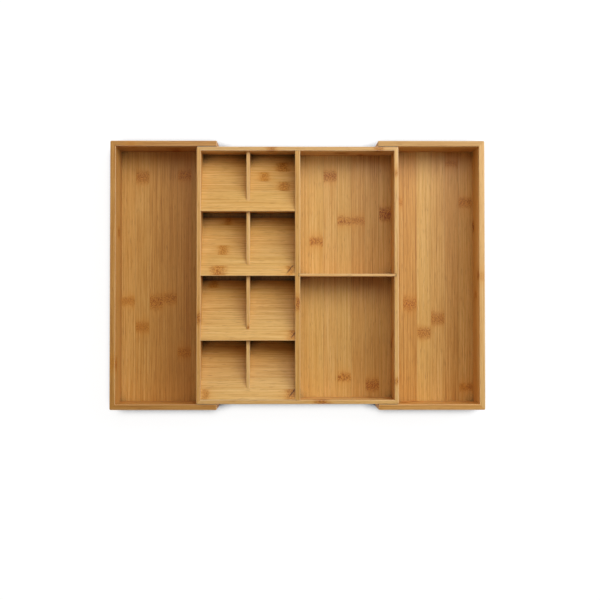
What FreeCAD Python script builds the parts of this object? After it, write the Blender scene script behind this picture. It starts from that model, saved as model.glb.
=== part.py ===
"""Expanding bamboo drawer insert: a centre tray with four sloping cutlery tiers and two compartments, and
a tray on each side that slides out from under it.

Frame: millimetres, +X to the right, +Y to the back of the drawer, +Z up. The origin is on the drawer's
bottom under the middle of the insert, and both side trays are drawn fully out.
"""
import FreeCAD, Part
import os
import re
import Sketcher

# Driving dimensions, in millimetres.
SIZES = {
    "overall_height": 60.0,
    "foot_height": 1.0,
    "foot_sunk": 1.0,
    "foot_radius": 5.0,
    "foot_inset": 14.0,
    "foot_round": 0.4,
    # The centre tray.
    "centre_width": 275.4,
    "centre_depth": 351.0,
    "centre_wall": 5.5,
    "centre_floor": 4.0,
    "centre_rabbet": 3.0,
    "middle_wall": 6.9,
    "middle_wall_shift": 3.4,
    # The side trays. The opening is what shows between a drawn tray's side wall and the centre tray.
    "tray_wall": 7.5,
    "tray_floor": 4.0,
    "tray_rabbet": 3.5,
    "tray_opening": 110.3,
    "tray_overlap": 27.5,
    "tray_travel": 109.0,
    "slide_gap": 0.5,
    "lift_gap": 0.5,
    # The slides: a runner near the free end of each tray wall, in a stopped groove in the centre tray.
    "runner_level": 27.0,
    "runner_length": 16.0,
    "runner_setback": 4.0,
    "runner_sunk": 2.0,
    "runner_play": 0.3,
    "groove_height": 6.0,
    "groove_depth": 3.0,
    "stop_gap": 0.2,
    # The tiers. tier_tall is the sloping board's thickness measured upright, as its ends are cut.
    "tier_length": 82.9,
    "tier_pitch": 88.2,
    "tier_tall": 5.7,
    "tier_nose": 1.0,
    "tier_round": 0.6,
    "riser_board": 5.0,
    "divider_thickness": 4.5,
    "divider_drop": 8.3,
    # The loose cross divider and its slots.
    "cross_thickness": 3.2,
    "cross_drop": 1.0,
    "slot_width": 3.7,
    "slot_depth": 2.5,
    "slot_play": 0.25,
    # Eased edges.
    "edge_round": 0.8,
    "corner_round": 1.8,
    "thin_round": 0.5,
}

# Sizes and places worked out from the driving ones.
DERIVED = {
    "tray_floor_top": "foot_height + tray_floor",
    "centre_base": "foot_height + tray_floor + lift_gap",
    "centre_floor_top": "centre_base + centre_floor",
    "half_width": "centre_width / 2",
    "half_depth": "centre_depth / 2",
    "inner_half_width": "half_width - centre_wall",
    "inner_half_depth": "half_depth - centre_wall",
    "middle_left": "-middle_wall_shift",
    "middle_right": "middle_wall - middle_wall_shift",
    "tray_inner_side": "half_width + tray_opening",
    "tray_outer_side": "tray_inner_side + tray_wall",
    "tray_free_end": "half_width - tray_overlap",
    "tray_inner_depth": "half_depth + slide_gap",
    "tray_outer_depth": "tray_inner_depth + tray_wall",
    "runner_near": "tray_free_end + runner_setback",
    "runner_far": "runner_near + runner_length",
    "runner_half": "groove_height / 2 - runner_play",
    "rise": "overall_height - centre_floor_top",
    "tier_low": "centre_floor_top + tier_tall",
    "divider_top": "overall_height - divider_drop",
    "column_middle": "(middle_left - inner_half_width) / 2",
}
TIERS = 4
COS_45 = 0.7071067811865476
TOLERANCE = 1e-4

WORDS = re.compile(r"\b[a-z]+(?:_[a-z]+)+\b|\brise\b")


def expression(text):
    """The text with every size in it written as its spreadsheet cell."""

    def swap(found):
        word = found.group(0)
        if word in DERIVED:
            return f"({expression(DERIVED[word])})"
        return f"sizes.{word}" if word in SIZES else word

    return WORDS.sub(swap, str(text))


doc = FreeCAD.newDocument("drawer_insert")
sheet = doc.addObject("Spreadsheet::Sheet", "sizes")
for row, (alias, value) in enumerate(SIZES.items(), start=1):
    sheet.set(f"A{row}", alias)
    sheet.set(f"B{row}", str(value))
    sheet.setAlias(f"B{row}", alias)
doc.recompute()
bodies = {}


def number(text):
    """What an expression comes to with the sizes as they are."""
    return float(sheet.evalExpression(expression(text)))


def bind(thing, prop, text):
    thing.setExpression(prop, expression(text))


def new_body(name):
    body = doc.addObject("PartDesign::Body", name)
    body.Label = name
    bodies[name] = body
    return body


def anticlockwise(corners):
    """Corners as (x, y, radius of the edge that leaves it or None), put in anticlockwise order."""
    corners = [corner if len(corner) == 3 else (*corner, None) for corner in corners]
    places = [(number(x), number(y)) for x, y, _ in corners]
    area = sum(a[0] * b[1] - b[0] * a[1] for a, b in zip(places, places[1:] + places[:1]))
    if area > 0:
        return corners
    radii = [radius for _, _, radius in corners]
    flipped = [(x, y) for x, y, _ in reversed(corners)]
    return [(x, y, radii[-2 - i]) for i, (x, y) in enumerate(flipped, start=-len(flipped))]


def arc(start, end, radius):
    """The anticlockwise minor arc from start to end."""
    chord = end - start
    outward = FreeCAD.Vector(chord.y, -chord.x, 0).normalize()
    sagitta = radius - (radius**2 - (chord.Length / 2) ** 2) ** 0.5
    edge = Part.Arc(start, (start + end) * 0.5 + outward * sagitta, end).toShape()
    return Part.ArcOfCircle(edge.Curve, *edge.ParameterRange)


def outline(body, plane, offset, corners):
    """A closed sketch on one of the body's origin planes, moved along that plane's normal."""
    sketch = body.newObject("Sketcher::SketchObject", f"{body.Label}_sketch")
    origin = next(feature for feature in body.Origin.OriginFeatures if feature.Role == plane)
    sketch.AttachmentSupport = (origin, [""])
    sketch.MapMode = "FlatFace"
    bind(sketch, "AttachmentOffset.Base.z", offset)
    corners = anticlockwise(corners)
    places = [FreeCAD.Vector(number(x), number(y), 0) for x, y, _ in corners]
    ends = places[1:] + places[:1]
    for (_, _, radius), start, end in zip(corners, places, ends):
        sketch.addGeometry(arc(start, end, number(radius)) if radius else Part.LineSegment(start, end))
    for i in range(len(corners)):
        sketch.addConstraint(Sketcher.Constraint("Coincident", i, 2, (i + 1) % len(corners), 1))
    for i, ((x, y, radius), place) in enumerate(zip(corners, places)):
        sizes = [(x, Sketcher.Constraint("DistanceX", -1, 1, i, 1, place.x)),
                 (y, Sketcher.Constraint("DistanceY", -1, 1, i, 1, place.y))]
        if radius:
            sizes.append((radius, Sketcher.Constraint("Radius", i, number(radius))))
        for text, constraint in sizes:
            bind(sketch, f"Constraints[{sketch.addConstraint(constraint)}]", text)
    return sketch


def rectangle(x_low, x_high, y_low, y_high):
    return [(x_low, y_low), (x_high, y_low), (x_high, y_high), (x_low, y_high)]


def pad(body, plane, offset, corners, length):
    feature = body.newObject("PartDesign::Pad", f"{body.Label}_pad")
    feature.Profile = outline(body, plane, offset, corners)
    bind(feature, "Length", length)
    doc.recompute()
    return feature


def pocket(body, plane, offset, corners, depth, along_normal=False):
    """A pocket that cuts against its plane's normal, or along it. It has to take something away."""
    before = body.Shape.Volume
    feature = body.newObject("PartDesign::Pocket", f"{body.Label}_pocket")
    feature.Profile = outline(body, plane, offset, corners)
    feature.Reversed = along_normal
    bind(feature, "Length", depth)
    doc.recompute()
    if body.Shape.Volume > before - TOLERANCE:
        raise RuntimeError(f"a pocket in {body.Label} cuts nothing")
    return feature


def ease(body, radius, wanted):
    """Rounds the edges that wanted(middle point, direction or None) picks; an arc has no direction."""
    base = body.Tip
    names = []
    for i, edge in enumerate(base.Shape.Edges, start=1):
        middle = edge.valueAt((edge.FirstParameter + edge.LastParameter) / 2)
        straight = isinstance(edge.Curve, Part.Line)
        if wanted(middle, edge.tangentAt(edge.FirstParameter) if straight else None):
            names.append(f"Edge{i}")
    if not names:
        raise RuntimeError(f"no edge of {body.Label} is rounded")
    feature = body.newObject("PartDesign::Fillet", f"{body.Label}_round")
    feature.Base = (base, names)
    bind(feature, "Radius", radius)
    doc.recompute()


def near(value, text):
    return abs(value - number(text)) < TOLERANCE


def along(direction, axis):
    return direction is not None and abs(abs(getattr(direction, axis)) - 1) < TOLERANCE


def at_top(middle):
    return near(middle.z, "overall_height")


def frame_board(name, spin, wall, half_length, half_span, rabbet, base, floor_top):
    """A wall with both ends mitred and a rabbet for the floor. It is drawn with its outside facing -Y, and
    turned by spin degrees about Z."""
    body = new_body(name)
    body.Placement = FreeCAD.Placement(FreeCAD.Vector(), FreeCAD.Rotation(FreeCAD.Vector(0, 0, 1), spin))
    inner = f"{half_length} - {wall}"
    inner_face = f"-({half_span} - {wall})"
    tip_x = f"{half_length} - corner_round * (1 - {COS_45})"
    tip_y = f"-({half_span} - corner_round * (1 - {COS_45}))"
    pad(body, "XY_Plane", base, [
        (f"-({half_length} - corner_round)", f"-({half_span})"),
        (f"{half_length} - corner_round", f"-({half_span})", "corner_round"),
        (tip_x, tip_y),
        (inner, inner_face),
        (f"-({inner})", inner_face),
        (f"-({tip_x})", tip_y, "corner_round"),
    ], f"overall_height - {base}")
    pocket(body, "XY_Plane", base, [
        (f"-({inner} + {rabbet})", f"{inner_face} - {rabbet}"),
        (f"{inner} + {rabbet}", f"{inner_face} - {rabbet}"),
        (f"{inner} - {wall}", f"{inner_face} + {wall}"),
        (f"-({inner} - {wall})", f"{inner_face} + {wall}"),
    ], f"{floor_top} - {base}", along_normal=True)
    return body


def ease_frame_board(body, half_span, wall, base):
    """Rounds the long edges of the top, and the outer one of the bottom."""

    def wanted(middle, direction):
        outer = direction is None or near(-middle.y, half_span)
        long_edge = direction is None or along(direction, "x")
        top = at_top(middle) and (outer or near(-middle.y, f"{half_span} - {wall}"))
        return long_edge and (top or (outer and near(middle.z, base)))

    ease(body, "edge_round", wanted)


def centre_board(name, spin, half_length, half_span):
    return frame_board(name, spin, "centre_wall", half_length, half_span, "centre_rabbet", "centre_base",
                       "centre_floor_top")


def centre_frame():
    """The centre tray's four outer walls."""
    for name, spin in (("center_front_wall", 0), ("center_back_wall", 180)):
        wall = centre_board(name, spin, "half_width", "half_depth")
        for side in (-1, 1):
            pocket(wall, "XZ_Plane", "half_depth", rectangle(
                f"{side} * (runner_near - tray_travel - stop_gap)", f"{side} * (runner_far + stop_gap)",
                "runner_level - groove_height / 2", "runner_level + groove_height / 2"), "groove_depth")
        ease_frame_board(wall, "half_depth", "centre_wall", "centre_base")
    for name, spin in (("center_left_wall", -90), ("center_right_wall", 90)):
        wall = centre_board(name, spin, "half_depth", "half_width")
        if spin > 0:
            pocket(wall, "XY_Plane", "centre_floor_top", rectangle(
                "-slot_width / 2", "slot_width / 2", "-(inner_half_width + slot_depth)",
                "-inner_half_width"), "rise", along_normal=True)
        ease_frame_board(wall, "half_width", "centre_wall", "centre_base")


def middle_wall():
    """The wall between the tiers and the two compartments, with the cross divider's other slot."""
    wall = new_body("center_middle_wall")
    pad(wall, "XY_Plane", "centre_floor_top", rectangle(
        "middle_left", "middle_right", "-inner_half_depth", "inner_half_depth"), "rise")
    pocket(wall, "XY_Plane", "centre_floor_top", rectangle(
        "middle_right - slot_depth", "middle_right", "-slot_width / 2", "slot_width / 2"),
        "rise", along_normal=True)

    def wanted(middle, direction):
        side = near(middle.x, "middle_left") or near(middle.x, "middle_right")
        return at_top(middle) and along(direction, "y") and side

    ease(wall, "edge_round", wanted)


def centre_floor():
    floor = new_body("center_floor")
    reach_x, reach_y = "(inner_half_width + centre_rabbet)", "(inner_half_depth + centre_rabbet)"
    pad(floor, "XY_Plane", "centre_base", rectangle(f"-{reach_x}", reach_x, f"-{reach_y}", reach_y),
        "centre_floor")


def tier(index, front, rear):
    """A board that slopes up from its rear end to its front end, its riser and the divider that halves its
    cell.

    The last tier's front edge meets the front wall, so it needs no riser.
    """
    slope = f"(rise - tier_tall) / ({rear} - {front})"
    width = "inner_half_width + middle_left"
    panel = new_body(f"tier_panel_{index}")
    pad(panel, "YZ_Plane", "-inner_half_width", [
        (front, "overall_height"),
        (front, "overall_height - tier_tall"),
        (rear, "centre_floor_top"),
        (rear, "tier_low"),
    ], width)
    ease(panel, "tier_round", lambda middle, direction: along(direction, "x") and near(middle.y, front))

    if index < TIERS:
        riser = new_body(f"tier_riser_{index}")
        pad(riser, "YZ_Plane", "-inner_half_width", [
            (f"{front} + tier_nose", "centre_floor_top"),
            (f"{front} + tier_nose + riser_board", "centre_floor_top"),
            (f"{front} + tier_nose + riser_board",
             f"overall_height - tier_tall - (tier_nose + riser_board) * {slope}"),
            (f"{front} + tier_nose", f"overall_height - tier_tall - tier_nose * {slope}"),
        ], width)

    divider = new_body(f"tier_divider_{index}")
    back = rear
    if 1 < index < TIERS:  # the floor shows between these tiers and the riser behind them
        back = f"({front} + tier_pitch + tier_nose)"
    corners = [(f"{front} + divider_drop / ({slope})", "divider_top"), (rear, "tier_low"),
               (back, "tier_low"), (back, "divider_top")]
    if back == rear:
        corners.pop(2)
    pad(divider, "YZ_Plane", "column_middle - divider_thickness / 2", corners, "divider_thickness")
    ease(divider, "thin_round",
         lambda middle, direction: along(direction, "y") and near(middle.z, "divider_top"))


def cross_divider():
    divider = new_body("cross_divider")
    pad(divider, "XY_Plane", "centre_floor_top", rectangle(
        "middle_right - slot_depth + slot_play", "inner_half_width + slot_depth - slot_play",
        "-cross_thickness / 2", "cross_thickness / 2"), "rise - cross_drop")
    ease(divider, "thin_round", lambda middle, direction: near(middle.z, "overall_height - cross_drop"))


def runner(name, side, end):
    """A bamboo strip let into a tray wall's inside, which rides in the centre tray's groove."""
    strip = new_body(name)
    tip = "(half_depth - groove_depth + runner_play)"
    pad(strip, "XY_Plane", "runner_level - runner_half", rectangle(
        f"{side} * (runner_near)", f"{side} * (runner_far)", f"{end} * {tip}",
        f"{end} * (tray_inner_depth + runner_sunk)"), "2 * (runner_half)")
    ease(strip, "thin_round", lambda middle, direction: near(end * middle.y, tip))


def tray_long_wall(name, side, end):
    """A tray's front or back wall: mitred at the side wall, square at the end that laps the centre tray."""
    wall = new_body(name)
    pad(wall, "XY_Plane", "foot_height", [
        (f"{side} * (tray_free_end)", f"{end} * (tray_inner_depth)"),
        (f"{side} * (tray_free_end)", f"{end} * (tray_outer_depth)"),
        (f"{side} * (tray_outer_side - corner_round)", f"{end} * (tray_outer_depth)", "corner_round"),
        (f"{side} * (tray_outer_side - corner_round * (1 - {COS_45}))",
         f"{end} * (tray_outer_depth - corner_round * (1 - {COS_45}))"),
        (f"{side} * (tray_inner_side)", f"{end} * (tray_inner_depth)"),
    ], "overall_height - foot_height")
    pocket(wall, "XY_Plane", "foot_height", [
        (f"{side} * (tray_free_end - tray_wall)", f"{end} * (tray_inner_depth - tray_wall)"),
        (f"{side} * (tray_free_end - tray_wall)", f"{end} * (tray_inner_depth + tray_rabbet)"),
        (f"{side} * (tray_inner_side + tray_rabbet)", f"{end} * (tray_inner_depth + tray_rabbet)"),
        (f"{side} * (tray_inner_side - tray_wall)", f"{end} * (tray_inner_depth - tray_wall)"),
    ], "tray_floor", along_normal=True)
    pocket(wall, "XZ_Plane", f"{-end} * (tray_inner_depth)", rectangle(
        f"{side} * (runner_near)", f"{side} * (runner_far)", "runner_level - runner_half",
        "runner_level + runner_half"), "runner_sunk", along_normal=end < 0)

    def wanted(middle, direction):
        outer = direction is None or near(end * middle.y, "tray_outer_depth")
        inner = near(end * middle.y, "tray_inner_depth")
        free_end = near(side * middle.x, "tray_free_end")
        level = direction is None or along(direction, "x") or along(direction, "y")
        top = at_top(middle) and level and (outer or inner or free_end)
        bottom = near(middle.z, "foot_height") and level and (outer or free_end)
        return top or bottom or (free_end and along(direction, "z") and (outer or inner))

    ease(wall, "edge_round", wanted)


def circles(body, offset, centres, radius):
    """A sketch of circles of one radius, on the level at offset."""
    sketch = outline(body, "XY_Plane", offset, [])
    for i, (x, y) in enumerate(centres):
        centre = FreeCAD.Vector(number(x), number(y), 0)
        sketch.addGeometry(Part.Circle(centre, FreeCAD.Vector(0, 0, 1), number(radius)))
        for text, constraint in (
                (x, Sketcher.Constraint("DistanceX", -1, 1, i, 3, centre.x)),
                (y, Sketcher.Constraint("DistanceY", -1, 1, i, 3, centre.y)),
                (radius, Sketcher.Constraint("Radius", i, number(radius)))):
            bind(sketch, f"Constraints[{sketch.addConstraint(constraint)}]", text)
    return sketch


def tray_floor_and_feet(hand, side):
    """The tray's floor, which passes under the centre tray, with its four rubber feet let in from below."""
    feet_at = [(f"{side} * ({x})", f"{end} * (tray_outer_depth - foot_inset)")
               for x in ("tray_outer_side - foot_inset", "tray_free_end + foot_inset") for end in (-1, 1)]
    floor = new_body(f"{hand}_tray_floor")
    reach = "(tray_inner_depth + tray_rabbet)"
    pad(floor, "XY_Plane", "foot_height", rectangle(
        f"{side} * (tray_free_end)", f"{side} * (tray_inner_side + tray_rabbet)", f"-{reach}", reach),
        "tray_floor")
    feature = floor.newObject("PartDesign::Pocket", f"{floor.Label}_seats")
    feature.Profile = circles(floor, "foot_height", feet_at, "foot_radius")
    feature.Reversed = True
    bind(feature, "Length", "foot_sunk")
    doc.recompute()
    ease(floor, "thin_round", lambda middle, direction: (
        near(side * middle.x, "tray_free_end") and along(direction, "y")))

    feet = new_body(f"{hand}_tray_feet")
    discs = feet.newObject("PartDesign::Pad", f"{feet.Label}_pad")
    discs.Profile = circles(feet, "0", feet_at, "foot_radius")
    bind(discs, "Length", "foot_height + foot_sunk")
    doc.recompute()
    ease(feet, "foot_round", lambda middle, direction: direction is None and near(middle.z, "0"))


def side_tray(hand, side):
    wall = frame_board(f"{hand}_tray_side_wall", 90 * side, "tray_wall", "tray_outer_depth",
                       "tray_outer_side", "tray_rabbet", "foot_height", "tray_floor_top")
    ease_frame_board(wall, "tray_outer_side", "tray_wall", "foot_height")
    for place, end in (("front", -1), ("back", 1)):
        tray_long_wall(f"{hand}_tray_{place}_wall", side, end)
        runner(f"{hand}_runner_{place}", side, end)
    tray_floor_and_feet(hand, side)


centre_floor()
centre_frame()
middle_wall()
for place in range(1, TIERS):
    tier(place, f"(inner_half_depth - tier_length - {place - 1} * tier_pitch)",
         f"(inner_half_depth - {place - 1} * tier_pitch)")
tier(TIERS, "(-inner_half_depth)",
     f"(inner_half_depth - tier_length - {TIERS - 2} * tier_pitch + tier_nose)")
cross_divider()
side_tray("left", -1)
side_tray("right", 1)
doc.recompute()

for thing in doc.Objects:
    if "Invalid" in thing.State or "Error" in thing.State:
        raise RuntimeError(f"{thing.Label} failed: {thing.State}")
for name, body in bodies.items():
    if body.Shape.isNull() or not body.Shape.isValid() or not body.Shape.Solids:
        raise RuntimeError(f"{name} has no valid shape")

os.makedirs("parts", exist_ok=True)
for name, body in bodies.items():
    body.Shape.exportStep(f"parts/{name}.step")
    print(f"{name}: {len(body.Shape.Solids)} solid, {body.Shape.Volume / 1000:.2f} cm3")
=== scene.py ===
"""The looks of the expanding bamboo drawer insert: laminated bamboo on every board, rubber feet, a white
studio floor, soft light and a camera that looks almost straight down. Lengths are in metres, in the CAD
model's frame: +X to the right, +Y to the back of the drawer, +Z up.
"""
import math

import bpy
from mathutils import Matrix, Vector


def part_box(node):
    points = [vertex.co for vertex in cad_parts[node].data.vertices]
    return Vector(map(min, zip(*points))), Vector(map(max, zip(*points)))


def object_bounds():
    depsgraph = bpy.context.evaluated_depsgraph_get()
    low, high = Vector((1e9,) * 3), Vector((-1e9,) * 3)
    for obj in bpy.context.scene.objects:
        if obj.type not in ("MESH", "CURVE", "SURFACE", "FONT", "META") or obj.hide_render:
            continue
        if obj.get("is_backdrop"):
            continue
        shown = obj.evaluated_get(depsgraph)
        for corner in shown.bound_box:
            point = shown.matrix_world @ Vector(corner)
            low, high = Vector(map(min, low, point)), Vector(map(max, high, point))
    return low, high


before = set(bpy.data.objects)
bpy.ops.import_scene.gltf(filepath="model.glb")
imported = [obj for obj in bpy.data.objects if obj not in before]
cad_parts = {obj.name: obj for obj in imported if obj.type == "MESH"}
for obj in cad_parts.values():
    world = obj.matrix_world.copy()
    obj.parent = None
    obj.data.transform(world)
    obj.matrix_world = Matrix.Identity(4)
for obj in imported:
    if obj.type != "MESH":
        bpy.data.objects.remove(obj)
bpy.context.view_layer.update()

MM = 0.001

STRIP = 19.7 * MM  # the width of a bamboo strip
TIER_STRIP = 16.3 * MM  # the same on the tiers' sloping boards
TIER_TALL = 5.7 * MM  # a tier board's thickness, measured upright
NO_KNOT = -0.5  # a place along the grain that no board reaches
NONE = NO_KNOT / MM  # the same place in millimetres, for the table of strips

# How fine each pattern in the bamboo is, in cells per metre: along the grain, across the strips and through
# the thickness.
FIBRES = (22, 1500, 1500)
THREADS = (3, 820, 820)
FLECKS = (16, 950, 950)
STREAKS = (4, 260, 260)
CLOUDS = (9, 45, 45)
VESSELS = (70, 1700, 1700)
BUNDLES = (0, 1500, 1500)  # what shows on end grain
SPECKS = (560, 950, 950)  # inside a knuckle
WOBBLE = (160, 300, 300)  # of a knuckle's outline

# The same for the feet.
RUBBER_GRAINS = (2600, 2600, 2600)
RUBBER_DUST = (160, 160, 160)

# The two levels of a pattern's noise between which it fades in.
VESSEL_LEVELS = (0.6, 0.72)
BUNDLE_LEVELS = (0.5, 0.66)
SPECK_LEVELS = (0.46, 0.54)

# The two values between which something else fades in, or fades out where it says so.
END_LEVELS = (0.6, 0.8)  # end grain: how squarely the surface faces along the grain
WEAR_LEVELS = (0.86, 0.995)  # out: how squarely the surface faces along one of the board's axes
GLUE_LEVELS = (0.012, 0.028)  # out: the distance from a strip's edge, in strip widths
# Painted shade in corners and slots: it fades out as the place gets more open.
PAINTED_CREVICE_SHADE_LEVELS = (0.06, 0.38)  # out: how open the place is
FLOOR_SHADE_LEVELS = (0.48, 0.93)  # out: how open the place is

# How far each pattern moves the bamboo's tone, from darkest to palest.
FIBRE_TONE = 1.0
THREAD_TONE = 0.9
FLECK_TONE = 0.5
STREAK_TONE = 0.05
CLOUD_TONE = 0.14
STRIP_TONE = 0.2  # from strip to strip, on boards that aren't in the table of strips
STRIP_HUE = -2.5  # how much rosier a strip is where it is paler by 1: below 0, so pale ones are yellower

# A knuckle of the cane.
KNUCKLE_BOW = 5.0 * MM  # the range of how far its middle is off the line between its ends
KNUCKLE_WOBBLE = 9.0 * MM  # the range of its outline's wobble
KNUCKLE_HALF = 3.0 * MM  # half its length along the grain, at the least
KNUCKLE_HALF_MORE = 4.0 * MM  # what chance may add to that
KNUCKLE_GLOW = 13.0 * MM  # how far the grain around it is warmer
SPLIT_SLANT = 6.0 * MM  # how far a split runs along the grain, over half a strip
SPLIT_WIDTH = 0.9 * MM
KNUCKLE_STRETCH = 0.3  # the length of cane that holds one knuckle

PAINTED_CREVICE_SHADE_REACH = 25 * MM  # how near other boards have to be for a corner to get painted shade
BUMP_DEPTH, BUMP_STRENGTH = 0.15 * MM, 0.6
RUBBER_BUMP_DEPTH, RUBBER_BUMP_STRENGTH = 0.06 * MM, 1.0
FLOOR_SHADE_REACH = 20 * MM  # how near something has to stand to shade the floor


class Graph:
    """A node tree written as calls: every call adds a node and returns the socket it puts out."""

    def __init__(self, tree):
        self.tree = tree

    def node(self, kind, **settings):
        node = self.tree.nodes.new(f"ShaderNode{kind}")
        for name, value in settings.items():
            setattr(node, name, value)
        return node

    def feed(self, socket, value):
        if isinstance(value, bpy.types.NodeSocket):
            self.tree.links.new(value, socket)
        else:
            socket.default_value = value

    def math(self, operation, *values, clamp=False):
        node = self.node("Math", operation=operation, use_clamp=clamp)
        for socket, value in zip(node.inputs, values):
            self.feed(socket, value)
        return node.outputs[0]

    def add(self, *values):
        total = values[0]
        for value in values[1:]:
            total = self.math("ADD", total, value)
        return total

    def times(self, *values):
        product = values[0]
        for value in values[1:]:
            product = self.math("MULTIPLY", product, value)
        return product

    def minus(self, a, b):
        return self.math("SUBTRACT", a, b)

    def centred(self, value, amount):
        """A 0 to 1 value as one that swings by amount about 0."""
        return self.math("MULTIPLY_ADD", value, amount, -amount / 2)

    def bell(self, x, width):
        """1 at x = 0, falling to a third at x = width."""
        scaled = self.math("DIVIDE", x, width)
        return self.math("EXPONENT", self.times(scaled, scaled, -1.0))

    def ramp_up(self, value, low, high):
        """0 below low, 1 above high, smooth between."""
        node = self.node("MapRange", interpolation_type="SMOOTHSTEP")
        for name, given in (("Value", value), ("From Min", low), ("From Max", high)):
            self.feed(node.inputs[name], given)
        return node.outputs["Result"]

    def vector(self, x, y, z):
        node = self.node("CombineXYZ")
        for socket, value in zip(node.inputs, (x, y, z)):
            self.feed(socket, value)
        return node.outputs[0]

    def split(self, vector):
        node = self.node("SeparateXYZ")
        self.feed(node.inputs[0], vector)
        return node.outputs

    def stretch(self, vector, scale):
        node = self.node("VectorMath", operation="MULTIPLY")
        self.feed(node.inputs[0], vector)
        node.inputs[1].default_value = scale
        return node.outputs[0]

    def shift(self, vector, offset):
        node = self.node("VectorMath", operation="ADD")
        self.feed(node.inputs[0], vector)
        self.feed(node.inputs[1], offset)
        return node.outputs[0]

    def along(self, vector, axis):
        node = self.node("VectorMath", operation="DOT_PRODUCT")
        self.feed(node.inputs[0], vector)
        node.inputs[1].default_value = axis
        return node.outputs["Value"]

    def noise(self, vector, detail=2.0, roughness=0.5):
        node = self.node("TexNoise")
        self.feed(node.inputs["Vector"], vector)
        node.inputs["Scale"].default_value = 1.0
        node.inputs["Detail"].default_value = detail
        node.inputs["Roughness"].default_value = roughness
        return node.outputs["Fac"]

    def chance(self, x, y, z):
        """Three random numbers from 0 to 1 that stay the same wherever x, y and z do."""
        node = self.node("TexWhiteNoise", noise_dimensions="3D")
        self.feed(node.inputs["Vector"], self.vector(x, y, z))
        return self.split(node.outputs["Color"])

    def colours(self, value, stops):
        node = self.node("ValToRGB")
        elements = node.color_ramp.elements
        for element, (place, colour) in zip(elements, (stops[0], stops[-1])):
            element.position, element.color = place, (*colour, 1)
        for place, colour in stops[1:-1]:
            elements.new(place).color = (*colour, 1)
        self.feed(node.inputs[0], value)
        return node.outputs["Color"]

    def bump(self, height, depth, strength):
        node = self.node("Bump")
        node.inputs["Strength"].default_value = strength
        node.inputs["Distance"].default_value = depth
        self.feed(node.inputs["Height"], height)
        return node.outputs["Normal"]

    def blend(self, amount, a, b, how="MIX"):
        node = self.node("Mix", data_type="RGBA", blend_type=how, clamp_factor=True)
        self.feed(node.inputs["Factor"], amount)
        self.feed(node.inputs[6], a if isinstance(a, bpy.types.NodeSocket) else (*a, 1))
        self.feed(node.inputs[7], b if isinstance(b, bpy.types.NodeSocket) else (*b, 1))
        return node.outputs[2]


def srgb(red, green, blue):
    """A colour given as it looks on screen, 0 to 255, in linear light."""
    return tuple(((c / 255 + 0.055) / 1.055) ** 2.4 for c in (red, green, blue))


# The bamboo's colours, from its darkest tone to its palest, and what is laid over them.
HONEY = [(0.0, srgb(166, 108, 40)), (0.3, srgb(199, 143, 65)), (0.6, srgb(217, 167, 92)),
         (1.0, srgb(234, 192, 124))]
ROSY = srgb(206, 140, 68)
YELLOW = srgb(214, 172, 88)
GLUE = srgb(120, 76, 36)
KNOT = srgb(150, 78, 4)
KNOT_WARM = srgb(206, 135, 30)
SPLIT = srgb(84, 40, 4)
VESSEL = srgb(145, 90, 34)
END_GRAIN = srgb(160, 112, 62)
WORN = srgb(240, 210, 160)
# Painted shade, laid into corners and narrow slots where little light reaches.
PAINTED_CREVICE_SHADE = srgb(46, 24, 11)

RUBBER = [(0.3, srgb(28, 27, 26)), (0.7, srgb(58, 56, 53))]
WHITE = (1, 1, 1)
FLOOR_SHADE = srgb(50, 58, 70)
COOL_LIGHT = (0.97, 1.01, 1.1)
WARM_LIGHT = (1.25, 0.83, 0.4)


def new_group(name, takes, gives):
    tree = bpy.data.node_groups.new(name, "ShaderNodeTree")
    for direction, sockets in (("INPUT", takes), ("OUTPUT", gives)):
        for socket, kind in sockets:
            tree.interface.new_socket(socket, in_out=direction, socket_type=f"NodeSocket{kind}")
    given = tree.nodes.new("NodeGroupInput").outputs
    out = tree.nodes.new("NodeGroupOutput").inputs
    return Graph(tree), given, out


def knot_group():
    """One knuckle of the cane: a patch of specks as wide as the strip, in a warmer stretch of the grain.
    Distance is how far off it is along the grain, and Across runs from 0 to 1 over the strip. Where Crack
    is 1, a dark split runs across it on a slant."""
    graph, given, out = new_group(
        "knuckle",
        [("Grain", "Vector"), ("Distance", "Float"), ("Across", "Float"), ("Chance", "Float"),
         ("Crack", "Float")],
        [("Dark", "Float"), ("Warm", "Float"), ("Ridge", "Float"), ("Split", "Float")])
    side = graph.minus(graph.times(given["Across"], 2.0), 1.0)
    arch = graph.minus(1.0, graph.times(side, side))
    bow = graph.times(arch, graph.centred(given["Chance"], KNUCKLE_BOW))
    wobble = graph.centred(graph.noise(graph.stretch(given["Grain"], WOBBLE)), KNUCKLE_WOBBLE)
    along = graph.add(given["Distance"], bow, wobble)

    half = graph.math("MULTIPLY_ADD", given["Chance"], KNUCKLE_HALF_MORE, KNUCKLE_HALF)
    beyond = graph.ramp_up(graph.math("ABSOLUTE", along), graph.times(half, 0.3), graph.times(half, 2.2))
    beside = graph.ramp_up(graph.math("ABSOLUTE", side), 0.8, 1.1)
    patch = graph.times(graph.minus(1.0, beyond), graph.minus(1.0, beside))
    specks = graph.noise(graph.stretch(given["Grain"], SPECKS), detail=2.0)
    specks = graph.ramp_up(specks, *SPECK_LEVELS)

    diagonal = graph.add(given["Distance"], graph.times(wobble, 0.35), graph.times(side, -SPLIT_SLANT))
    split = graph.bell(diagonal, SPLIT_WIDTH)
    split = graph.times(split, given["Crack"], graph.ramp_up(given["Across"], 0.1, 0.5))
    graph.feed(out["Split"], split)
    strength = graph.math("MULTIPLY_ADD", given["Chance"], 0.6, 0.75)
    darkness = graph.math("MULTIPLY_ADD", specks, 0.78, 0.06)
    graph.feed(out["Dark"], graph.times(patch, darkness, strength))
    glow = graph.bell(along, KNUCKLE_GLOW)
    graph.feed(out["Warm"], graph.math("MULTIPLY_ADD", glow, 0.35, graph.times(patch, 0.3), clamp=True))
    graph.feed(out["Ridge"], graph.times(patch, specks))
    return graph.tree


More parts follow.
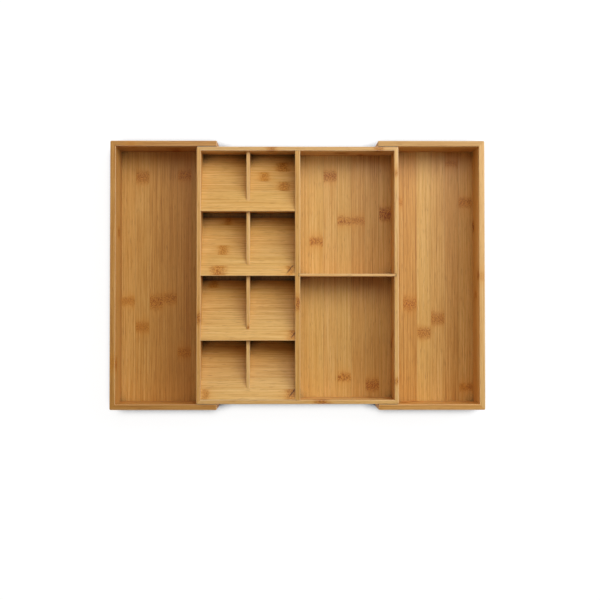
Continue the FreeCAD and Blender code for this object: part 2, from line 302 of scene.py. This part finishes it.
def bamboo_group(knuckle):
    """Laminated bamboo. Grain is a place in the board's own axes: along the grain, across the strips and
    through the thickness. Facing is the surface's direction in the same axes. Strips counts the strips
    across the board. Knot A and Knot B are the places of two knuckles along the grain, Speckle says how
    dark they are and Crack whether the second is split. Tone says how pale the board is and Hue how rosy,
    and Tint is what its colour is multiplied by."""
    graph, given, out = new_group(
        "bamboo",
        [("Grain", "Vector"), ("Facing", "Vector"), ("Knot A", "Float"), ("Knot B", "Float"),
         ("Strips", "Float"), ("Seed", "Float"), ("Tone", "Float"), ("Hue", "Float"),
         ("Tint", "Color"), ("Speckle", "Float"), ("Crack", "Float")],
        [("Color", "Color"), ("Roughness", "Float"), ("Height", "Float")])
    along = graph.split(given["Grain"])[0]
    strip = graph.math("FLOOR", given["Strips"])
    across = graph.math("FRACT", given["Strips"])
    chance = graph.chance(strip, given["Seed"], 1.0)
    place = graph.shift(given["Grain"], graph.vector(graph.times(strip, 0.37), given["Seed"], chance[1]))

    fibres = graph.noise(graph.stretch(place, FIBRES), detail=2.0, roughness=0.6)
    threads = graph.noise(graph.stretch(place, THREADS), detail=1.0)
    flecks = graph.noise(graph.stretch(place, FLECKS), detail=1.0)
    streaks = graph.noise(graph.stretch(place, STREAKS), detail=1.0)
    clouds = graph.noise(graph.stretch(place, CLOUDS), detail=2.0)
    tone = graph.add(
        given["Tone"], graph.centred(fibres, FIBRE_TONE), graph.centred(threads, THREAD_TONE),
        graph.centred(flecks, FLECK_TONE), graph.centred(streaks, STREAK_TONE),
        graph.centred(clouds, CLOUD_TONE))
    colour = graph.colours(tone, HONEY)
    hue = graph.add(given["Hue"], graph.centred(chance[1], 0.5), graph.centred(clouds, 0.4))
    colour = graph.blend(graph.math("MAXIMUM", graph.times(hue, 0.35), 0.0), colour, ROSY)
    colour = graph.blend(graph.math("MAXIMUM", graph.times(hue, -0.55), 0.0), colour, YELLOW)

    vessels = graph.ramp_up(graph.noise(graph.stretch(place, VESSELS), detail=1.0), *VESSEL_LEVELS)
    colour = graph.blend(graph.times(vessels, 0.5), colour, VESSEL)

    edge = graph.minus(0.5, graph.math("ABSOLUTE", graph.minus(across, 0.5)))
    glue = graph.minus(1.0, graph.ramp_up(edge, *GLUE_LEVELS))
    glue = graph.times(glue, graph.math("MULTIPLY_ADD", chance[2], 0.22, 0.04))
    colour = graph.blend(glue, colour, GLUE)

    dark, ridge, split = 0.0, 0.0, 0.0
    for name, step, crack in (("Knot A", 2.0, 0.0), ("Knot B", 3.0, given["Crack"])):
        node = graph.tree.nodes.new("ShaderNodeGroup")
        node.node_tree = knuckle
        graph.feed(node.inputs["Grain"], place)
        graph.feed(node.inputs["Distance"], graph.minus(along, given[name]))
        graph.feed(node.inputs["Across"], across)
        graph.feed(node.inputs["Chance"], graph.chance(strip, given["Seed"], step)[0])
        graph.feed(node.inputs["Crack"], crack)
        colour = graph.blend(node.outputs["Warm"], colour, KNOT_WARM)
        dark = graph.add(graph.times(node.outputs["Dark"], given["Speckle"]), dark)
        ridge = graph.add(node.outputs["Ridge"], ridge)
        split = graph.add(node.outputs["Split"], split)
    colour = graph.blend(dark, colour, KNOT)
    colour = graph.blend(split, colour, SPLIT)

    facing = [graph.math("ABSOLUTE", part) for part in graph.split(given["Facing"])]
    end = graph.ramp_up(facing[0], *END_LEVELS)
    bundles = graph.noise(graph.stretch(given["Grain"], BUNDLES), detail=1.0)
    dots = graph.ramp_up(bundles, *BUNDLE_LEVELS)
    colour = graph.blend(graph.times(end, graph.math("MULTIPLY_ADD", dots, 0.5, 0.3)), colour, END_GRAIN)
    flat = graph.math("MAXIMUM", facing[0], graph.math("MAXIMUM", facing[1], facing[2]))
    worn = graph.minus(1.0, graph.ramp_up(flat, *WEAR_LEVELS))
    colour = graph.blend(graph.times(worn, 0.5), colour, WORN)
    colour = graph.blend(1.0, colour, given["Tint"], "MULTIPLY")
    # Painted shade: the colour darkens in corners and narrow slots between boards, where little light
    # reaches.
    crevice = graph.node("AmbientOcclusion", samples=6)
    crevice.inputs["Distance"].default_value = PAINTED_CREVICE_SHADE_REACH
    painted_shade = graph.minus(1.0, graph.ramp_up(crevice.outputs["AO"], *PAINTED_CREVICE_SHADE_LEVELS))
    colour = graph.blend(painted_shade, colour, PAINTED_CREVICE_SHADE)
    graph.feed(out["Color"], colour)

    graph.feed(out["Roughness"], graph.add(
        0.44, graph.centred(fibres, 0.2), graph.times(end, 0.2), graph.times(vessels, 0.1),
        graph.times(worn, -0.06)))
    graph.feed(out["Height"], graph.add(
        graph.times(fibres, 0.35), graph.times(streaks, 0.25), graph.times(vessels, -0.2),
        graph.times(glue, -0.9), graph.times(ridge, 0.6), graph.times(end, dots, -0.5)))
    return graph.tree


def axis_vector(axis):
    return tuple(1.0 if i == axis else 0.0 for i in range(3))


def board_axes(node):
    """The board's own axes at rest: along the grain, across the strips, through the thickness."""
    low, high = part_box(node)
    size = high - low
    thin, across, long = sorted(range(3), key=lambda axis: size[axis])
    if not node.startswith("tier_panel"):
        return axis_vector(long), axis_vector(across), axis_vector(thin)
    down = Vector((0, size.y, TIER_TALL - size.z)).normalized()
    return (1, 0, 0), tuple(down), (0, -down.z, down.y)


def first_edge(node, across):
    """Where the strips start, measured across them in the direction in which they are counted, and that
    direction."""
    low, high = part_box(node)
    if node == "right_tray_floor":
        return -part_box("right_tray_side_wall")[0].x, -1
    if node == "left_tray_floor":
        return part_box("left_tray_side_wall")[1].x, 1
    if node == "center_floor":
        return -high.x, -1
    if node.startswith("tier_panel"):
        return Vector((0, low.y, high.z)).dot(Vector(across)), 1
    return min(low.dot(Vector(across)), high.dot(Vector(across))), 1


# The strips of the boards that are looked down on: how much paler each is, below 0 darker, and where its
# knuckles lie along it, in millimetres from the insert's middle. Strips are counted from the tray's side
# wall, from the centre floor's right edge, or from a tier's front edge. The tones are partly the strips'
# own
# and partly painted shade: on the left tray's floor they darken towards the centre tray's wall, whose
# shadow falls there.
STRIPS = {
    "left_tray_floor": [(0.05, -36), (0, 141, -72), (-0.1, -35), (-0.14, -31), (-0.14, 143, -108)],
    "center_floor": [
        (0.03, 89), (-0.08, -153), (-0.1, 77), (0, 77, -143), (0.04, 141), (0.08, 48), (0.06,)],
    "right_tray_floor": [
        (0.02, 104, -158), (-0.12, 158), (0, -59), (0.07, -79), (-0.18, -38), (-0.1, 104)],
    "tier_panel_1": [(0,), (0,), (0, -18), (0, -46), (0, -19)],
    "tier_panel_2": [(-0.02, -107, -12), (-0.04,), (0, -103), (-0.05,), (-0.04,), (-0.04, -98)],
    "tier_panel_3": [(0, NONE, -6), (0,), (0,), (-0.1,), (-0.1,), (-0.1, -117)],
    "tier_panel_4": [(-0.04, -127, -9), (0,), (-0.04,), (-0.15,), (-0.17,)],
}


def placed_strips(graph, strip, rows):
    """Each strip's tone and the places of two knuckles along it, read from a stepped ramp of the rows. A
    plain row at the end is for any strip past them."""
    node = graph.node("ValToRGB")
    node.color_ramp.interpolation = "CONSTANT"
    elements = node.color_ramp.elements
    rows = [*rows, (0,)]
    while len(elements) < len(rows):
        elements.new(1.0)
    for i, (element, (paler, *knots)) in enumerate(zip(elements, rows)):
        first, second = [knot * MM - NO_KNOT for knot in knots] + [0] * (2 - len(knots))
        element.position = i / len(rows)
        element.color = (first, second, 0.5 + paler, 1)
    graph.feed(node.inputs[0], graph.math("DIVIDE", graph.add(strip, 0.5), float(len(rows))))
    first, second, paler = graph.split(node.outputs["Color"])
    return graph.add(paler, -0.5), graph.add(first, NO_KNOT), graph.add(second, NO_KNOT)


def random_strips(graph, strip, along, seed):
    """A tone for each strip, and a knuckle in each stretch of it, out of step with the next strip's."""
    chance = graph.chance(strip, seed, 4.0)
    count = graph.math("FLOOR", graph.add(graph.math("DIVIDE", along, KNUCKLE_STRETCH), chance[0]))
    inside = graph.math("MULTIPLY_ADD", graph.chance(strip, seed, count)[1], 0.6, 0.2)
    knot = graph.times(graph.minus(graph.add(count, inside), chance[0]), KNUCKLE_STRETCH)
    return graph.centred(chance[2], STRIP_TONE), knot, NO_KNOT


def board_material(node, seed, tone, tint, bamboo):
    """Bamboo along one board's own grain."""
    material = bpy.data.materials.new(f"bamboo_{node}")
    material.use_nodes = True
    graph = Graph(material.node_tree)
    axes = board_axes(node)
    place = graph.node("TexCoord").outputs
    grain = graph.vector(*(graph.along(place["Object"], axis) for axis in axes))
    facing = graph.vector(*(graph.along(place["Normal"], axis) for axis in axes))
    along, across, _ = graph.split(grain)
    start, way = first_edge(node, axes[1])
    tier = node.startswith("tier_panel")
    width = TIER_STRIP if tier else STRIP
    strips = graph.math("MULTIPLY_ADD", across, way / width, -start / width)
    strip = graph.math("FLOOR", strips)
    if node in STRIPS:
        paler, *knots = placed_strips(graph, strip, STRIPS[node])
    else:
        paler, *knots = random_strips(graph, strip, along, seed)
    look = graph.tree.nodes.new("ShaderNodeGroup")
    look.node_tree = bamboo
    values = {
        "Grain": grain, "Facing": facing, "Knot A": knots[0], "Knot B": knots[1], "Strips": strips,
        "Seed": seed, "Tone": graph.add(paler, tone), "Hue": graph.times(paler, STRIP_HUE),
        "Tint": (*tint, 1), "Speckle": SPECKLE.get(node, PLAIN_SPECKLE), "Crack": float(tier)}
    for name, value in values.items():
        graph.feed(look.inputs[name], value)
    shader = graph.tree.nodes["Principled BSDF"]
    shader.inputs["Specular IOR Level"].default_value = 0.4
    graph.feed(shader.inputs["Base Color"], look.outputs["Color"])
    graph.feed(shader.inputs["Roughness"], look.outputs["Roughness"])
    graph.feed(shader.inputs["Normal"], graph.bump(look.outputs["Height"], BUMP_DEPTH, BUMP_STRENGTH))
    return material


def rubber_material():
    material = bpy.data.materials.new("black_rubber")
    material.use_nodes = True
    graph = Graph(material.node_tree)
    place = graph.node("TexCoord").outputs["Object"]
    grains = graph.noise(graph.stretch(place, RUBBER_GRAINS), detail=3.0)
    dust = graph.noise(graph.stretch(place, RUBBER_DUST), detail=4.0)
    mottle = graph.add(graph.times(grains, 0.5), graph.times(dust, 0.5))
    shader = graph.tree.nodes["Principled BSDF"]
    graph.feed(shader.inputs["Base Color"], graph.colours(mottle, RUBBER))
    graph.feed(shader.inputs["Roughness"], graph.math("MULTIPLY_ADD", dust, 0.25, 0.62))
    graph.feed(shader.inputs["Normal"], graph.bump(grains, RUBBER_BUMP_DEPTH, RUBBER_BUMP_STRENGTH))
    return material


# The tone and the tint of a board, by its name or else by its kind, the last word of its name without a
# number. Tones and tints are partly the boards' own and partly painted light: the left tray's boards are
# darker, as painted shade where less of the light from the right falls, and the floors' warmer tint stands
# in for warm light bounced between the boards.
LOOKS = {
    "left_tray_floor": (0.45, (1.0, 0.97, 0.86)),
    "left_tray_side_wall": (0.3, (1.0, 0.98, 1.0)),
    "left_tray_back_wall": (0.25, (1.0, 1.0, 1.18)),
    "left_tray_front_wall": (0.33, (1.0, 0.95, 0.92)),
    "right_tray_front_wall": (0.37, (1.0, 0.93, 0.88)),
    "right_tray_back_wall": (0.46, (1.0, 1.0, 1.02)),
    "center_back_wall": (0.58, (1.0, 1.07, 1.42)),
    "center_left_wall": (0.5, (1.0, 0.99, 1.02)),
    "center_middle_wall": (0.34, (1.0, 0.97, 0.94)),
    "center_right_wall": (0.63, (1.0, 1.02, 1.12)),
    "cross_divider": (0.7, (1.0, 1.02, 1.1)),
    "floor": (0.53, (1.0, 0.98, 0.87)),
    "wall": (0.6, (1.0, 1.0, 1.08)),
    "panel": (0.62, (1.0, 1.01, 0.98)),
    "divider": (0.64, (1.0, 1.0, 1.05)),
}
PLAIN_LOOK = (0.5, (1.0, 1.0, 1.0))

# How dark the specks of the knuckles are, where they are paler than on most boards.
SPECKLE = {"left_tray_floor": 0.75, "right_tray_floor": 0.8}
SPECKLE.update({f"tier_panel_{i}": 0.75 for i in range(1, 5)})
PLAIN_SPECKLE = 1.1


def finish_boards():
    bamboo, rubber = bamboo_group(knot_group()), rubber_material()
    for i, (name, node) in enumerate(sorted(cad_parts.items())):
        kind = name.rstrip("_1234").split("_")[-1]
        tone, tint = LOOKS.get(name) or LOOKS.get(kind) or PLAIN_LOOK
        seed = 0.731 * i + 0.3  # a different one for each board, so that no two share their grain
        material = rubber if kind == "feet" else board_material(name, seed, tone, tint, bamboo)
        node.data.materials.clear()
        node.data.materials.append(material)


def floor_material():
    """A white floor that glows evenly, with a painted shadow where something stands close by."""
    material = bpy.data.materials.new("pale_floor")
    material.use_nodes = True
    graph = Graph(material.node_tree)
    shader = graph.tree.nodes["Principled BSDF"]
    shader.inputs["Base Color"].default_value = (0.12, 0.12, 0.12, 1)
    shader.inputs["Roughness"].default_value = 0.85
    shader.inputs["Specular IOR Level"].default_value = 0.1
    near = graph.node("AmbientOcclusion", samples=12)
    near.inputs["Distance"].default_value = FLOOR_SHADE_REACH
    open_floor = graph.ramp_up(near.outputs["AO"], *FLOOR_SHADE_LEVELS)
    graph.feed(shader.inputs["Emission Color"], graph.blend(open_floor, FLOOR_SHADE, WHITE))
    shader.inputs["Emission Strength"].default_value = 0.95
    return material


def stage():
    """A round floor that bends up into a wall, so that a low view sees nothing else behind the insert."""
    reach, bend, height = 6.0, 0.8, 1.9
    sides, bend_steps = 96, 8
    rings = [(0.6, 0.0), (2.4, 0.0)]  # radius and level
    for step in range(bend_steps + 1):
        angle = math.radians(90 * step / bend_steps)
        rings.append((reach - bend + bend * math.sin(angle), bend - bend * math.cos(angle)))
    rings.append((reach, height))
    turns = [math.tau * i / sides for i in range(sides)]
    points = [(radius * math.cos(turn), radius * math.sin(turn), level)
              for radius, level in rings for turn in turns]
    faces = [tuple(range(sides))]
    for ring in range(len(rings) - 1):
        first = ring * sides
        for i in range(sides):
            after = (i + 1) % sides
            faces.append((first + i, first + sides + i, first + sides + after, first + after))
    mesh = bpy.data.meshes.new("studio_floor")
    mesh.from_pydata(points, [], faces)
    mesh.shade_smooth()
    floor = bpy.data.objects.new("studio_floor", mesh)
    bpy.context.scene.collection.objects.link(floor)
    mesh.materials.append(floor_material())
    floor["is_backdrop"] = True


def area_light(name, place, size, power, colour=COOL_LIGHT):
    """A round light that faces the middle of the insert."""
    data = bpy.data.lights.new(name, "AREA")
    data.shape, data.size, data.energy, data.color = "DISK", size, power, colour
    light = bpy.data.objects.new(name, data)
    bpy.context.scene.collection.objects.link(light)
    light.location = place
    light.rotation_euler = (-Vector(place)).to_track_quat("-Z", "Y").to_euler()


def faint_sky():
    sky = bpy.data.worlds.new("studio")
    sky.use_nodes = True
    background = sky.node_tree.nodes["Background"]
    background.inputs["Color"].default_value = (*WHITE, 1)
    background.inputs["Strength"].default_value = 0.01
    bpy.context.scene.world = sky


def lights():
    """Strong soft light from the right and the back, and a little warm light from the other sides."""
    area_light("right", (1.15, 0.4, 0.95), 1.1, 13.7, (0.95, 1.02, 1.18))
    area_light("back", (0.03, 0.83, 1.33), 1.1, 7.8, WHITE)
    area_light("between", (0.62, 0.54, 1.28), 0.8, 4.6)
    area_light("top", (-0.15, -0.15, 1.65), 1.0, 1.4, (1.05, 1.0, 0.85))
    area_light("front_fill", (-0.5, -1.3, 0.98), 1.2, 0.3, WARM_LIGHT)
    area_light("left_fill", (-1.3, 0.2, 1.0), 1.2, 1.8, WARM_LIGHT)


def camera():
    """Almost straight down: a small tilt, and the framing a little off the lens's axis."""
    rim, above_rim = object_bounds()[1][2], 1.45
    data = bpy.data.cameras.new("camera")
    data.sensor_width = 36
    data.lens = 63.9
    data.shift_x, data.shift_y = 0.0083, -0.0282
    view = bpy.data.objects.new("camera", data)
    view.location = (-0.0136, -0.0411, rim + above_rim)
    view.rotation_euler = (math.radians(1.19), math.radians(-0.4), 0)
    bpy.context.scene.collection.objects.link(view)
    bpy.context.scene.camera = view


finish_boards()
stage()
faint_sky()
lights()
camera()
bpy.context.scene.view_settings.view_transform = "Standard"
